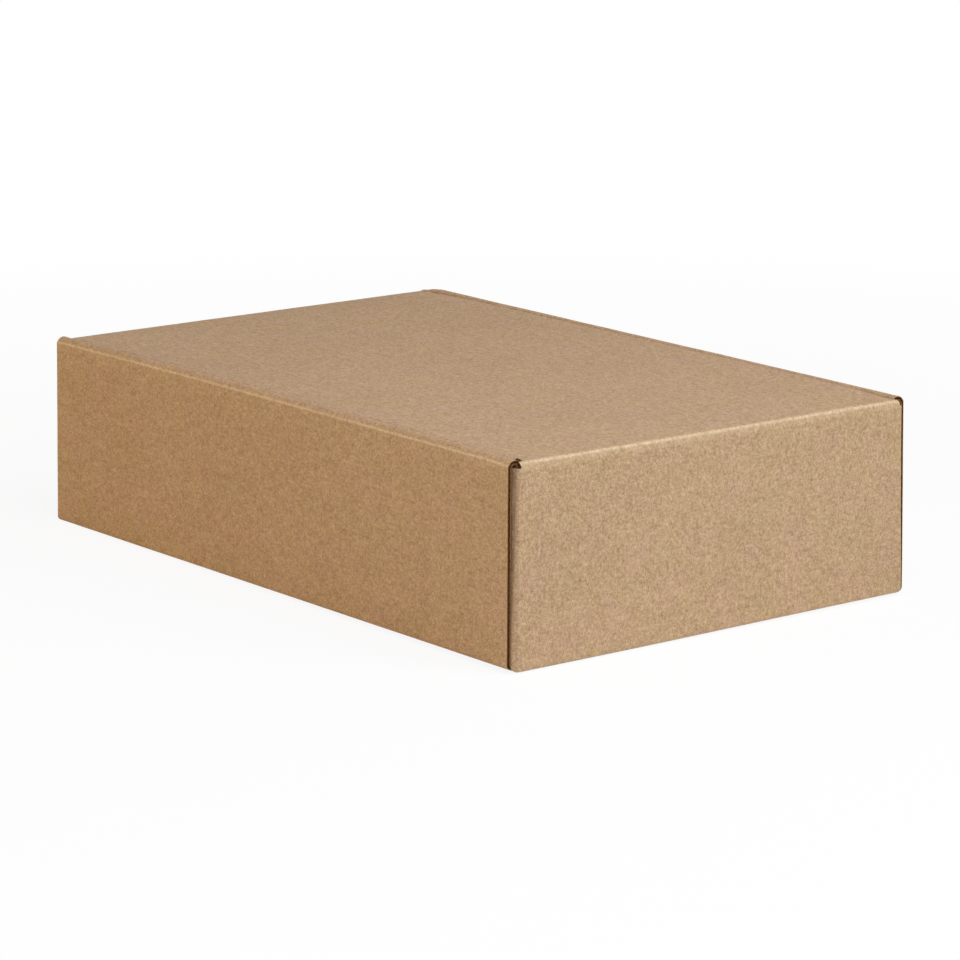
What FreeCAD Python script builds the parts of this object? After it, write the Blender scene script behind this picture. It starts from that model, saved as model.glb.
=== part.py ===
import FreeCAD, Part
import math
import os
import Sketcher

# A closed mailing box, folded from one die-cut sheet of thin corrugated board.
# The long walls roll over from the outside to the inside and catch the corner flaps of the
# two short walls between their layers. The lid hinges on one short wall, its side ears go
# down beside the long walls, and its tuck flap goes down inside the other short wall.
#
# Frame: +X points out of the hinge wall, -X out of the tuck wall, +Z is up, and the origin is
# the middle of the underside. All lengths are millimetres.

# Driving sizes, each set once here and kept in the sheet under the same word.
SIZES = {
    "box_length": (314.0, "outside of the hinge wall to outside of the tuck wall"),
    "box_width": (198.0, "outside to outside of the long walls"),
    "box_height": (80.0, "underside to the top of the rolled-over long walls"),
    "board": (1.6, "thickness of the corrugated board"),
    "crease": (0.2, "radius inside a square fold"),
    "roll_crease": (0.6, "radius inside the softer fold at the inner edge of a roll-over"),
    "flap_slack": (0.5, "outer panel of a long wall to the corner flap behind it"),
    "layer_gap": (0.2, "clearance between other layers that lie on each other"),
    "lid_drop": (1.0, "top of the roll-overs down to the top of the lid"),
    "panel_setback": (1.0, "inside of a short wall back to the ends of the long walls"),
    "corner_lift": (0.5, "underside up to the cut edge of a corner fold"),
    "flap_lift": (0.4, "base up to the lower edge of a corner flap"),
    "flap_reach": (70.0, "length of a corner flap along the long wall"),
    "flap_corner": (12.0, "corner radius of a corner flap"),
    "tuck_wall_step": (0.8, "top of the lid down to the cut edge of the tuck wall"),
    "hinge_inset": (4.5, "outside of a long wall to the end of the hinge crease"),
    "crease_split": (0.2, "gap across the hinge crease, where lid and tray meet"),
    "ear_gap": (0.4, "inner panel of a long wall to the ear beside it"),
    "ear_depth": (52.0, "top of the lid to the lower edge of an ear"),
    "ear_corner": (26.0, "corner radius of an ear"),
    "ear_setback_hinge": (6.5, "outside of the hinge wall to an ear"),
    "ear_setback_tuck": (14.0, "outside of the tuck wall to an ear"),
    "tuck_gap": (0.4, "inside of the tuck wall to the tuck flap"),
    "tuck_reach": (43.0, "length of the tuck flap below its fold"),
    "tuck_slope": (0.1, "lean of the tuck flap away from its wall, per length"),
    "tuck_inset": (9.0, "outside of a long wall to the end of the tuck flap"),
    "tuck_corner": (20.0, "corner radius of the tuck flap"),
    "tab_length": (36.0, "length of a locking tab where it leaves the inner panel"),
    "tab_taper": (2.0, "how much a tab narrows at each end towards its tip"),
    "tab_spacing": (150.0, "middle of one locking tab to the middle of the other"),
    "tab_tip": (0.3, "underside up to the tip of a locking tab"),
    "slot_gap": (0.3, "locking tab to the sides of its slot"),
    "slot_end_gap": (1.0, "locking tab to the ends of its slot"),
}


class Size:
    """A number that keeps the sheet formula it comes from."""

    def __init__(self, value, formula):
        self.value = value
        self.formula = formula

    def __add__(self, other):
        other = as_size(other)
        return Size(self.value + other.value, "(%s + %s)" % (self.formula, other.formula))

    def __sub__(self, other):
        other = as_size(other)
        return Size(self.value - other.value, "(%s - %s)" % (self.formula, other.formula))

    def __mul__(self, other):
        other = as_size(other)
        return Size(self.value * other.value, "(%s * %s)" % (self.formula, other.formula))

    def __truediv__(self, other):
        other = as_size(other)
        return Size(self.value / other.value, "(%s / %s)" % (self.formula, other.formula))

    def __neg__(self):
        return Size(-self.value, "(-1 * %s)" % self.formula)


def as_size(number):
    """Let a plain number stand in a sum of sizes."""
    if isinstance(number, Size):
        return number
    return Size(float(number), repr(float(number)))


def root(size):
    """Square root of a size."""
    return Size(math.sqrt(size.value), "sqrt(%s)" % size.formula)


def fill_sheet(doc):
    """Write the driving sizes into the document's sheet and return them by name."""
    sheet = doc.addObject("Spreadsheet::Sheet", "Sizes")
    named = {}
    for row, (word, (value, meaning)) in enumerate(SIZES.items(), start=1):
        cell = "B%d" % row
        sheet.set("A%d" % row, word)
        sheet.set(cell, str(value))
        sheet.setAlias(cell, word)
        sheet.set("C%d" % row, meaning)
        named[word] = Size(value, "Sizes." + word)
    return named


class Plan:
    """Heights and places that several pieces share, worked out from the driving sizes."""

    def __init__(self, size):
        self.size = size
        self.board = size["board"]
        self.crease = size["crease"]
        # Outer radius of a square fold.
        self.bend = self.board + self.crease
        self.end = size["box_length"] / 2
        self.side = size["box_width"] / 2
        self.top = size["box_height"]
        self.lid_top = self.top - size["lid_drop"]
        # A long wall is three layers: outer panel, corner flap and inner panel.
        self.flap_out = self.side - self.board - size["flap_slack"]
        self.inner_out = self.flap_out - self.board - size["layer_gap"]
        self.inner_in = self.inner_out - self.board
        # The roll-over has a tight inner shoulder and a wide outer one.
        self.roll_in = self.board + size["roll_crease"]
        self.roll_out = self.side - self.inner_in - self.roll_in
        self.panel_end = self.end - self.board - size["panel_setback"]
        # Short walls run straight between the folds of their corner flaps.
        self.wall_half = self.flap_out - self.bend
        self.shoulder = self.lid_top - self.bend - size["layer_gap"]
        self.tuck_wall_top = self.lid_top - size["tuck_wall_step"]
        # The lid is cut in two widths: at the hinge crease and between the long walls.
        self.crease_half = self.side - size["hinge_inset"]
        self.lid_half = self.inner_in - size["ear_gap"]
        self.tuck_half = self.side - size["tuck_inset"]
        self.tuck_out = self.end - self.board - size["tuck_gap"]
        self.ear_hinge = self.end - size["ear_setback_hinge"]
        self.ear_tuck = self.end - size["ear_setback_tuck"]
        # Where the split of the hinge crease leaves its round surfaces, from the fold's centre.
        self.half_split = size["crease_split"] / 2
        self.split_outer = self.split_reach(self.bend)
        self.split_inner = self.split_reach(self.crease)

    def split_reach(self, radius):
        """How far along the split a round surface of that radius lies."""
        return root(radius * radius - self.half_split * self.half_split)

    def split_point(self, reach, sense):
        """A corner of the split: sense is 1 on the tray's side and -1 on the lid's."""
        across = self.half_split * sense
        out = (reach + across) / math.sqrt(2.0)
        up = (reach - across) / math.sqrt(2.0)
        return self.end - self.bend + out, self.lid_top - self.bend + up


def new_body(doc, label):
    """An empty sub-part at the origin, whose label names its file."""
    body = doc.addObject("PartDesign::Body", label)
    body.Label = label
    body.Placement = FreeCAD.Placement()
    return body


def origin_plane(body, role):
    """The body's own origin plane of that role."""
    for feature in body.Origin.OriginFeatures:
        if feature.Role == role:
            return feature
    raise RuntimeError("the body has no plane " + role)


def new_sketch(body, name, role, height=None):
    """A sketch on one of the body's planes, raised along the plane's normal."""
    sketch = body.newObject("Sketcher::SketchObject", name)
    sketch.AttachmentSupport = [(origin_plane(body, role), "")]
    sketch.MapMode = "FlatFace"
    if height is not None:
        sketch.setExpression("AttachmentOffset.Base.z", height.formula)
    return sketch


def edge_shape(start, finish, radius):
    """A straight edge, or an arc of a signed radius that turns left where it is positive."""
    first = FreeCAD.Vector(start[0], start[1], 0)
    last = FreeCAD.Vector(finish[0], finish[1], 0)
    if radius == 0:
        return Part.LineSegment(first, last)
    chord = last - first
    left = FreeCAD.Vector(-chord.y, chord.x, 0).normalize()
    rise = math.sqrt(max(radius * radius - chord.Length * chord.Length / 4, 0))
    centre = (first + last) / 2 + left * math.copysign(rise, radius)
    if radius < 0:
        first, last = last, first
    circle = Part.Circle(centre, FreeCAD.Vector(0, 0, 1), abs(radius))
    return Part.ArcOfCircle(
        circle,
        math.atan2(first.y - centre.y, first.x - centre.x),
        math.atan2(last.y - centre.y, last.x - centre.x),
    )


def pin(sketch, kind, edge, vertex, distance):
    """Hold one coordinate of a vertex at a size measured from the sketch's origin."""
    if distance.value == 0:
        axis = -1 if kind == "DistanceY" else -2
        sketch.addConstraint(Sketcher.Constraint("PointOnObject", edge, vertex, axis))
        return
    rule = Sketcher.Constraint(kind, -1, 1, edge, vertex, distance.value)
    index = sketch.addConstraint(rule)
    sketch.setExpression("Constraints[%d]" % index, distance.formula)


def draw_loop(sketch, corners, mirrored=False):
    """Close a loop through corners (x, y) or (x, y, radius), with the radius of the arc that
    leaves the corner, positive where it turns left. A mirrored loop has x turned round."""
    flip = -1.0 if mirrored else 1.0
    points = []
    for corner in corners:
        across = as_size(corner[0])
        if mirrored:
            across = -across
        radius = as_size(corner[2]) if len(corner) > 2 else None
        points.append((across, as_size(corner[1]), radius))
    first_edge = sketch.GeometryCount
    for index, (across, along, radius) in enumerate(points):
        following = points[(index + 1) % len(points)]
        bend = radius.value * flip if radius else 0
        shape = edge_shape((across.value, along.value), (following[0].value, following[1].value), bend)
        sketch.addGeometry(shape, False)
    for index, (across, along, radius) in enumerate(points):
        edge = first_edge + index
        following = (index + 1) % len(points)
        ends = [1, 2]
        if radius and radius.value * flip < 0:
            ends.reverse()
        after = points[following][2]
        start_after = 2 if after and after.value * flip < 0 else 1
        rule = Sketcher.Constraint("Coincident", edge, ends[1], first_edge + following, start_after)
        sketch.addConstraint(rule)
        pin(sketch, "DistanceX", edge, ends[0], across)
        pin(sketch, "DistanceY", edge, ends[0], along)
        if radius:
            size = radius if radius.value > 0 else -radius
            rule = Sketcher.Constraint("Radius", edge, size.value)
            sketch.setExpression("Constraints[%d]" % sketch.addConstraint(rule), size.formula)


def pad(body, name, sketch, length, symmetric=False):
    """Raise a sketch into board by a length."""
    feature = body.newObject("PartDesign::Pad", name)
    feature.Profile = sketch
    feature.SideType = "Symmetric" if symmetric else "One side"
    feature.setExpression("Length", length.formula)
    return feature


def pocket(body, name, sketch, length, symmetric=False, back=False):
    """Cut a sketch out of the board by a length, and check that it did cut."""
    body.Document.recompute()
    before = body.Shape.Volume
    feature = body.newObject("PartDesign::Pocket", name)
    feature.Profile = sketch
    feature.SideType = "Symmetric" if symmetric else "One side"
    feature.Reversed = back
    feature.setExpression("Length", length.formula)
    body.Document.recompute()
    if feature.Shape.Volume >= before:
        raise RuntimeError(name + " cuts nothing")
    return feature


def mirror_to_other_side(body, name, features):
    """Repeat features on the other long side."""
    feature = body.newObject("PartDesign::Mirrored", name)
    feature.Originals = features
    feature.MirrorPlane = (origin_plane(body, "XZ_Plane"), [""])
    body.Tip = feature
    return feature


def tray_end_run(body, plan):
    """Base, hinge wall with its half of the hinge crease, and tuck wall, as one folded strip."""
    end, board, bend, crease = plan.end, plan.board, plan.bend, plan.crease
    fold = plan.lid_top - bend
    split_out = plan.split_point(plan.split_outer, 1)
    split_in = plan.split_point(plan.split_inner, 1)
    sketch = new_sketch(body, "end_run_section", "XZ_Plane")
    draw_loop(sketch, [
        (bend - end, 0),
        (end - bend, 0, bend),
        (end, bend),
        (end, fold, bend),
        split_out,
        (split_in[0], split_in[1], -crease),
        (end - board, fold),
        (end - board, bend, -crease),
        (end - bend, board),
        (bend - end, board, -crease),
        (board - end, bend),
        (board - end, plan.tuck_wall_top),
        (-end, plan.tuck_wall_top),
        (-end, bend, bend),
    ])
    return pad(body, "end_run", sketch, plan.wall_half * 2, symmetric=True)


def tray_side_run(body, plan):
    """One long wall as it rolls over: base, outer panel, rounded top and inner panel."""
    side, board, bend, crease = plan.side, plan.board, plan.bend, plan.crease
    top, inner_in, inner_out = plan.top, plan.inner_in, plan.inner_out
    roll_in, roll_out = plan.roll_in, plan.roll_out
    foot = board + plan.size["layer_gap"]
    sketch = new_sketch(body, "side_run_section", "YZ_Plane")
    draw_loop(sketch, [
        (0, 0),
        (side - bend, 0, bend),
        (side, bend),
        (side, top - roll_out, roll_out),
        (side - roll_out, top, roll_in),
        (inner_in, top - roll_in),
        (inner_in, foot),
        (inner_out, foot),
        (inner_out, top - roll_in, board - roll_in),
        (side - roll_out, top - board, board - roll_out),
        (side - board, top - roll_out),
        (side - board, bend, -crease),
        (side - bend, board),
        (0, board),
    ])
    return pad(body, "side_run", sketch, plan.panel_end * 2, symmetric=True)


def tray_corner_folds(body, plan):
    """The upright folds that turn each short wall into its corner flaps."""
    end, board, bend, crease = plan.end, plan.board, plan.bend, plan.crease
    lift = plan.size["corner_lift"]
    sketch = new_sketch(body, "corner_fold_sections", "XY_Plane", lift)
    for at_tuck_wall in (False, True):
        draw_loop(sketch, [
            (end, plan.wall_half, bend),
            (end - bend, plan.flap_out),
            (end - bend, plan.flap_out - board, -crease),
            (end - board, plan.wall_half),
        ], mirrored=at_tuck_wall)
    return pad(body, "corner_folds", sketch, plan.shoulder - lift)


def tray_corner_flaps(body, plan):
    """Flaps that lie between the layers of a long wall and hold the corners together."""
    size = plan.size
    root_end = plan.end - plan.bend
    tip = root_end - size["flap_reach"]
    low = plan.board + size["flap_lift"]
    corner = size["flap_corner"]
    sketch = new_sketch(body, "corner_flap_outlines", "XZ_Plane", -plan.flap_out)
    for at_tuck_wall in (False, True):
        draw_loop(sketch, [
            (root_end, low),
            (root_end, plan.shoulder),
            (tip + corner, plan.shoulder, corner),
            (tip, plan.shoulder - corner),
            (tip, low + corner, corner),
            (tip + corner, low),
        ], mirrored=at_tuck_wall)
    return pad(body, "corner_flaps", sketch, plan.board)


def tray_shoulders(body, plan):
    """Cut the upper corners of both short walls down, beside the lid's crease."""
    sketch = new_sketch(body, "shoulder_outline", "YZ_Plane")
    draw_loop(sketch, [
        (plan.crease_half, plan.shoulder),
        (plan.side, plan.shoulder),
        (plan.side, plan.top),
        (plan.crease_half, plan.top),
    ])
    return pocket(body, "shoulders", sketch, plan.end * 2 + plan.board, symmetric=True)


def tray_slots(body, plan):
    """Slots in the base for the locking tabs."""
    size = plan.size
    middle = size["tab_spacing"] / 2
    half = size["tab_length"] / 2 + size["slot_end_gap"]
    near = plan.inner_in - size["slot_gap"]
    far = plan.inner_out + size["slot_gap"]
    sketch = new_sketch(body, "slot_outlines", "XY_Plane")
    for at_tuck_wall in (False, True):
        draw_loop(sketch, [
            (middle - half, near),
            (middle + half, near),
            (middle + half, far),
            (middle - half, far),
        ], mirrored=at_tuck_wall)
    return pocket(body, "slots", sketch, plan.board, back=True)


def tray_tabs(body, plan):
    """Locking tabs of an inner panel, which stand in the slots of the base."""
    size = plan.size
    middle = size["tab_spacing"] / 2
    half = size["tab_length"] / 2
    half_tip = half - size["tab_taper"]
    foot = plan.board + size["layer_gap"]
    sketch = new_sketch(body, "tab_outlines", "XZ_Plane", -plan.inner_out)
    for at_tuck_wall in (False, True):
        draw_loop(sketch, [
            (middle - half, foot),
            (middle - half_tip, size["tab_tip"]),
            (middle + half_tip, size["tab_tip"]),
            (middle + half, foot),
        ], mirrored=at_tuck_wall)
    return pad(body, "tabs", sketch, plan.board)


def make_tray(doc, plan):
    """The base with its four walls, rolled over and locked."""
    body = new_body(doc, "tray")
    tray_end_run(body, plan)
    one_side = [
        tray_shoulders(body, plan),
        tray_side_run(body, plan),
        tray_corner_folds(body, plan),
        tray_corner_flaps(body, plan),
        tray_slots(body, plan),
        tray_tabs(body, plan),
    ]
    mirror_to_other_side(body, "both_long_walls", one_side)
    return body


def lid_run(body, plan):
    """Lid panel with its half of the hinge crease at one end and the tuck flap at the other."""
    board, bend, crease = plan.board, plan.bend, plan.crease
    size = plan.size
    lid_top = plan.lid_top
    fold = lid_top - bend
    tuck = bend - plan.tuck_out
    # The tuck flap leans by a slope: down is its share along Z and inward its share along X.
    down = as_size(1) / root(size["tuck_slope"] * size["tuck_slope"] + 1)
    inward = size["tuck_slope"] * down
    reach = size["tuck_reach"]
    outer_root = (tuck - bend * down, fold - bend * inward)
    inner_root = (tuck - crease * down, fold - crease * inward)
    split_out = plan.split_point(plan.split_outer, -1)
    split_in = plan.split_point(plan.split_inner, -1)
    sketch = new_sketch(body, "lid_section", "XZ_Plane")
    draw_loop(sketch, [
        (split_out[0], split_out[1], bend),
        (plan.end - bend, lid_top),
        (tuck, lid_top, bend),
        outer_root,
        (outer_root[0] + reach * inward, outer_root[1] - reach * down),
        (inner_root[0] + reach * inward, inner_root[1] - reach * down),
        (inner_root[0], inner_root[1], -crease),
        (tuck, lid_top - board),
        (plan.end - bend, lid_top - board, -crease),
        split_in,
    ])
    return pad(body, "lid_strip", sketch, plan.crease_half * 2, symmetric=True)


def lid_side_trim(body, plan):
    """Trim the lid's long edge: widest at the hinge crease, narrowest where an ear folds down."""
    size = plan.size
    beyond = plan.side + plan.board
    past_tuck = -plan.end
    hinge_corner = plan.end - plan.bend - size["layer_gap"]
    tuck_fold = plan.bend - plan.tuck_out
    ear_fold = plan.lid_half - plan.bend
    sketch = new_sketch(body, "side_trim_outline", "XY_Plane", plan.lid_top)
    draw_loop(sketch, [
        (hinge_corner, plan.lid_half),
        (hinge_corner, beyond),
        (past_tuck, beyond),
        (past_tuck, plan.tuck_half),
        (tuck_fold, plan.tuck_half),
        (tuck_fold, plan.lid_half),
        (-plan.ear_tuck, plan.lid_half),
        (-plan.ear_tuck, ear_fold),
        (plan.ear_hinge, ear_fold),
        (plan.ear_hinge, plan.lid_half),
    ])
    return pocket(body, "side_trim", sketch, plan.bend)


def lid_tuck_trim(body, plan):
    """Narrow the tuck flap and round its free corner."""
    size = plan.size
    corner = size["tuck_corner"]
    beyond = plan.side + plan.board
    fold = plan.lid_top - plan.bend
    low = fold - size["tuck_reach"]
    below = low - plan.bend
    half = plan.tuck_half
    sketch = new_sketch(body, "tuck_trim_outline", "YZ_Plane")
    draw_loop(sketch, [
        (half, fold),
        (half, low + corner, -corner),
        (half - corner, low),
        (half - corner, below),
        (beyond, below),
        (beyond, fold),
    ])
    return pocket(body, "tuck_trim", sketch, plan.end)


def lid_ear_fold(body, plan):
    """The fold that turns the lid's long edge down into an ear."""
    half, board, bend, crease = plan.lid_half, plan.board, plan.bend, plan.crease
    fold = plan.lid_top - bend
    sketch = new_sketch(body, "ear_fold_section", "YZ_Plane", -plan.ear_tuck)
    draw_loop(sketch, [
        (half, fold, bend),
        (half - bend, plan.lid_top),
        (half - bend, plan.lid_top - board, -crease),
        (half - board, fold),
    ])
    return pad(body, "ear_fold", sketch, plan.ear_hinge + plan.ear_tuck)


def lid_ear(body, plan):
    """An ear: it hangs from the lid's long edge, just inside the long wall."""
    size = plan.size
    corner = size["ear_corner"]
    fold = plan.lid_top - plan.bend
    low = plan.lid_top - size["ear_depth"]
    front, rear = -plan.ear_tuck, plan.ear_hinge
    sketch = new_sketch(body, "ear_outline", "XZ_Plane", -plan.lid_half)
    draw_loop(sketch, [
        (front, fold),
        (front, low + corner, corner),
        (front + corner, low),
        (rear - corner, low, corner),
        (rear, low + corner),
        (rear, fold),
    ])
    return pad(body, "ear", sketch, plan.board)


def make_lid(doc, plan):
    """The lid with its tuck flap and two ears."""
    body = new_body(doc, "lid")
    lid_run(body, plan)
    one_side = [
        lid_side_trim(body, plan),
        lid_tuck_trim(body, plan),
        lid_ear_fold(body, plan),
        lid_ear(body, plan),
    ]
    mirror_to_other_side(body, "both_ears", one_side)
    return body


def check_objects(doc):
    """Stop on any object that failed to compute."""
    for item in doc.Objects:
        if "Invalid" in item.State or "Error" in item.State:
            raise RuntimeError("%s failed: %s" % (item.Label, item.State))


def write_part(body):
    """Write one sub-part's solid to a file named by its label."""
    shape = body.Shape
    if shape.isNull() or not shape.isValid() or len(shape.Solids) != 1:
        raise RuntimeError(body.Label + " is not one sound solid")
    shape.exportStep("parts/%s.step" % body.Label)
    print(body.Label, "volume mm3", round(shape.Volume, 1), "box", shape.BoundBox)


def main():
    os.makedirs("parts", exist_ok=True)
    doc = FreeCAD.newDocument("mailing_box")
    plan = Plan(fill_sheet(doc))
    doc.recompute()
    bodies = [make_tray(doc, plan), make_lid(doc, plan)]
    doc.recompute()
    check_objects(doc)
    for body in bodies:
        write_part(body)


main()
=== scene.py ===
import math

import bmesh
import bpy
from bpy.props import FloatProperty, FloatVectorProperty, PointerProperty
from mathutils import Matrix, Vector, noise


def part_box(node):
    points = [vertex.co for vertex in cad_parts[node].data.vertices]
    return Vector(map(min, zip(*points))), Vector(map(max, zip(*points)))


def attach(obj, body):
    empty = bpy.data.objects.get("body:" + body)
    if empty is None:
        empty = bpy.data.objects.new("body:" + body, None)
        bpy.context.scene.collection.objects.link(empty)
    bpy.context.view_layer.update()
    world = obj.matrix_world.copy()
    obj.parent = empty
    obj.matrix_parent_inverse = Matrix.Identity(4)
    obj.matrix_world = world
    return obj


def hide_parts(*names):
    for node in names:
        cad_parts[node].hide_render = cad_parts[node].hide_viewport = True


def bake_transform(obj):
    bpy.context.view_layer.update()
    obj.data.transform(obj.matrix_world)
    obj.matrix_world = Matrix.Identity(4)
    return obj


# A closed mailing box of thin corrugated board, made the way the real one is: each sheet is cut
# flat, with its liners and its fluting, and is then rolled up along its creases.
# The frame has +X out of the hinge wall, -X out of the tuck wall and +Z up.
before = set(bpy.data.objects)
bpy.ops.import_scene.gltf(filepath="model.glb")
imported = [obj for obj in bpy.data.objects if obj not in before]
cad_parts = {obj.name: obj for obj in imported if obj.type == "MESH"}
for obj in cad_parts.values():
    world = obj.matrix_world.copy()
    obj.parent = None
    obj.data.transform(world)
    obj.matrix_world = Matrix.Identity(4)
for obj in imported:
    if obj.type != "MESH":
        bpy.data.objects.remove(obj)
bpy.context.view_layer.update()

bl_info = {
    "name": "Corrugated mailing box",
    "version": (1, 0, 0),
    "blender": (4, 5, 0),
    "location": "3D View > Sidebar > Box",
    "description": "A closed mailing box, cut from corrugated board, creased and folded",
    "category": "Object",
}

TRAY_LOW, TRAY_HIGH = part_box("tray")
LID_LOW, LID_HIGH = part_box("lid")
# Distances in metres.
HOLD = 0.0003  # from a fold to the line that holds the board beside it flat
SNAP = 0.000001  # by which a trimming cut stays clear of a corner that it passes through
TOUCH = 0.0001  # by which a place may miss a line and still count as on it
SHARP = math.radians(42)  # angle between faces from which their edge is shaded sharp
WAVE_STEPS = 10  # faces along one wave of the fluting
RIPPLE_SEED = 7  # keeps the board's ripples the same in each run
CORNERS = ((-1, -1), (-1, 1), (1, -1), (1, 1))  # signs of X and Y


def mm(millimetres):
    """Millimetres in metres."""
    return millimetres * 0.001


def paint(hex_colour):
    """A colour written as sRGB hex, turned linear."""
    linear = []
    for start in (0, 2, 4):
        level = int(hex_colour[start:start + 2], 16) / 255
        linear.append(level / 12.92 if level <= 0.04045 else ((level + 0.055) / 1.055) ** 2.4)
    return tuple(linear) + (1.0,)


def length(name, description, default):
    """A length that the panel shows."""
    return FloatProperty(
        name=name, description=description, default=default, unit="LENGTH", precision=4
    )


def number(name, description, default, unit="NONE"):
    """A share, an angle or a power that the panel shows."""
    return FloatProperty(name=name, description=description, default=default, unit=unit)


def colour(name, description, hex_colour):
    """A colour that the panel shows."""
    return FloatVectorProperty(
        name=name, description=description, default=paint(hex_colour),
        subtype="COLOR", size=4, min=0, max=1,
    )


class BoardSizes(bpy.types.PropertyGroup):
    """Make-up of the board, its folds and the fits between its layers."""

    board: length("Board", "Thickness of the corrugated board", mm(1.6))
    liner: length("Liner", "Thickness of each flat liner", mm(0.26))
    fluting: length("Fluting", "Thickness of the wavy paper between the liners", mm(0.2))
    pitch: length("Flute pitch", "Tip to tip of the flutes", mm(3.3))
    bend: length("Square fold", "Outer radius of a square fold", mm(1.8))
    ridge: length("Ridge", "Outer radius of the crease along the top of a long wall", mm(1.0))
    ridge_turn: number(
        "Ridge turn", "How far the wall turns in at its ridge", math.radians(42), "ROTATION"
    )
    slope: length("Slope", "Board from a long wall's ridge towards its top", mm(1.1))
    roll_out: length("Outer roll", "Outer radius from the slope to the top of a long wall", mm(2.9))
    roll_in: length("Inner roll", "Outer radius from a long wall's top to its inner panel", mm(2.2))
    flap_slack: length("Flap slack", "Outer panel of a long wall to the corner flap", mm(0.5))
    layer_gap: length("Layer gap", "Clearance between other layers that lie on each other", mm(0.2))
    panel_setback: length("Panel setback", "Short wall's inside to a long wall's end", mm(0.8))
    corner_gap: length("Corner gap", "End of a long wall to the cut edge of a corner fold", mm(0.3))
    flap_lift: length("Flap lift", "Base to the lower edge of a corner flap", mm(0.4))
    flap_reach: length("Flap reach", "Length of a corner flap along the long wall", mm(70))
    flap_corner: length("Flap corner", "Corner radius of a corner flap", mm(12))
    tuck_wall_step: length("Tuck wall step", "Top of the lid to the edge of the tuck wall", mm(0.8))
    ear_gap: length("Ear gap", "Inner panel of a long wall to the ear", mm(0.4))
    ear_corner: length("Ear corner", "Corner radius of an ear", mm(26))
    ear_setback_hinge: length("Ear to hinge", "Outside of the hinge wall to an ear", mm(6.5))
    ear_setback_tuck: length("Ear to tuck", "Outside of the tuck wall to an ear", mm(14))
    lug_gap: length("Lug gap", "Inner panel of a long wall to the lid beside its crease", mm(1.1))
    ear_slit: length("Ear slit", "Width of the slit that frees the end of an ear's fold", mm(0.3))
    tuck_reach: length("Tuck reach", "Length of the tuck flap below its fold", mm(43))
    tuck_lean: number("Tuck lean", "Lean of the tuck flap per length", 0.1)
    tuck_inset: length("Tuck inset", "Outside of a long wall to the end of the tuck flap", mm(9))
    tuck_corner: length("Tuck corner", "Corner radius of the tuck flap", mm(20))
    tab_length: length("Tab length", "Length of a locking tab", mm(36))
    tab_taper: length("Tab taper", "How much a tab narrows at each end", mm(2))
    tab_spacing: length("Tab spacing", "Middle of one locking tab to the other's", mm(150))
    tab_tip: length("Tab tip", "Underside to the tip of a locking tab", mm(0.3))
    slot_gap: length("Slot gap", "Locking tab to the sides of its slot", mm(0.3))
    slot_end_gap: length("Slot end gap", "Locking tab to the ends of its slot", mm(1.0))
    hinge_margin: length("Hinge margin", "Board beside the crease that bends with it", mm(2.4))
    ribbon: length("Fluting shown", "How deep the fluting is made behind a cut edge", mm(9))


class Wear(bpy.types.PropertyGroup):
    """How the real, handled box departs from its drawing, within its drawn outline."""

    lean: length("Lean", "Top of a long wall inwards, at its far end", mm(1.85))
    lean_front: length("Front lean", "Top of the near long wall inwards, at its near end", mm(0.45))
    foot: length("Foot", "Foot of a long wall inwards, at its far end", mm(0.25))
    droop: length("Droop", "Near long wall down, at the tuck end", mm(1.4))
    crown: length("Crown", "Lid's far side up, between its ends", mm(0.9))
    tuck_dip: length("Tuck dip", "Lid's far side down, at the tuck end", mm(1.25))
    hinge_dip: length("Hinge dip", "Lid's far side down, at the hinge end", mm(0.4))
    lift: length("Lift", "Foot of the near long wall up, at the hinge end", mm(1.4))
    far_lift: length("Far lift", "Foot of the hinge wall up, at its far end", mm(0.75))
    crush: length("Crush", "Top of the far long wall down, at the tuck end", mm(1.75))
    near_crush: length("Near crush", "Top of the near long wall down, at the hinge end", mm(0.5))
    crush_span: length("Crush span", "How far a crushed top corner reaches", mm(11))
    far_droop: length("Far droop", "Far long wall down, at the hinge end", mm(0.44))
    slow: length("Slow ripple", "Unevenness over a hand's width", mm(0.2))
    slow_span: length("Slow span", "Size of one slow ripple", mm(48))
    quick: length("Quick ripple", "Unevenness along the creases", mm(0.1))
    quick_span: length("Quick span", "Size of one quick ripple", mm(9))
    corner_spring: length("Corner spring", "Corner fold outwards at its foot", mm(0.55))
    corner_pinch: length("Corner pinch", "Corner fold inwards at its top", mm(0.78))
    pinch_from: number("Pinched from", "Share of the height where the pinch is full", 0.85)
    corner_curl: length("Corner curl", "Foot of the near corner fold up", mm(0.6))
    curl_height: length("Curl height", "Height up to which that foot curls", mm(4))
    corner_reach: length("Corner reach", "How far from the fold that movement fades", mm(3.5))
    score: length("Score", "Depth of the score line down a corner fold, at its foot", mm(0.25))
    score_width: length("Score width", "Half width of a score line", mm(0.55))
    # The pale lines along the creases are partly wear and partly a painted highlight where a fold
    # catches the light.
    worn_and_highlight_width: length("Worn width", "Half width of the pale line along a crease", mm(0.8))
    ridge_wear_and_highlight_width: length("Ridge width", "Half width of the pale line along a long wall", mm(0.45))


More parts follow.
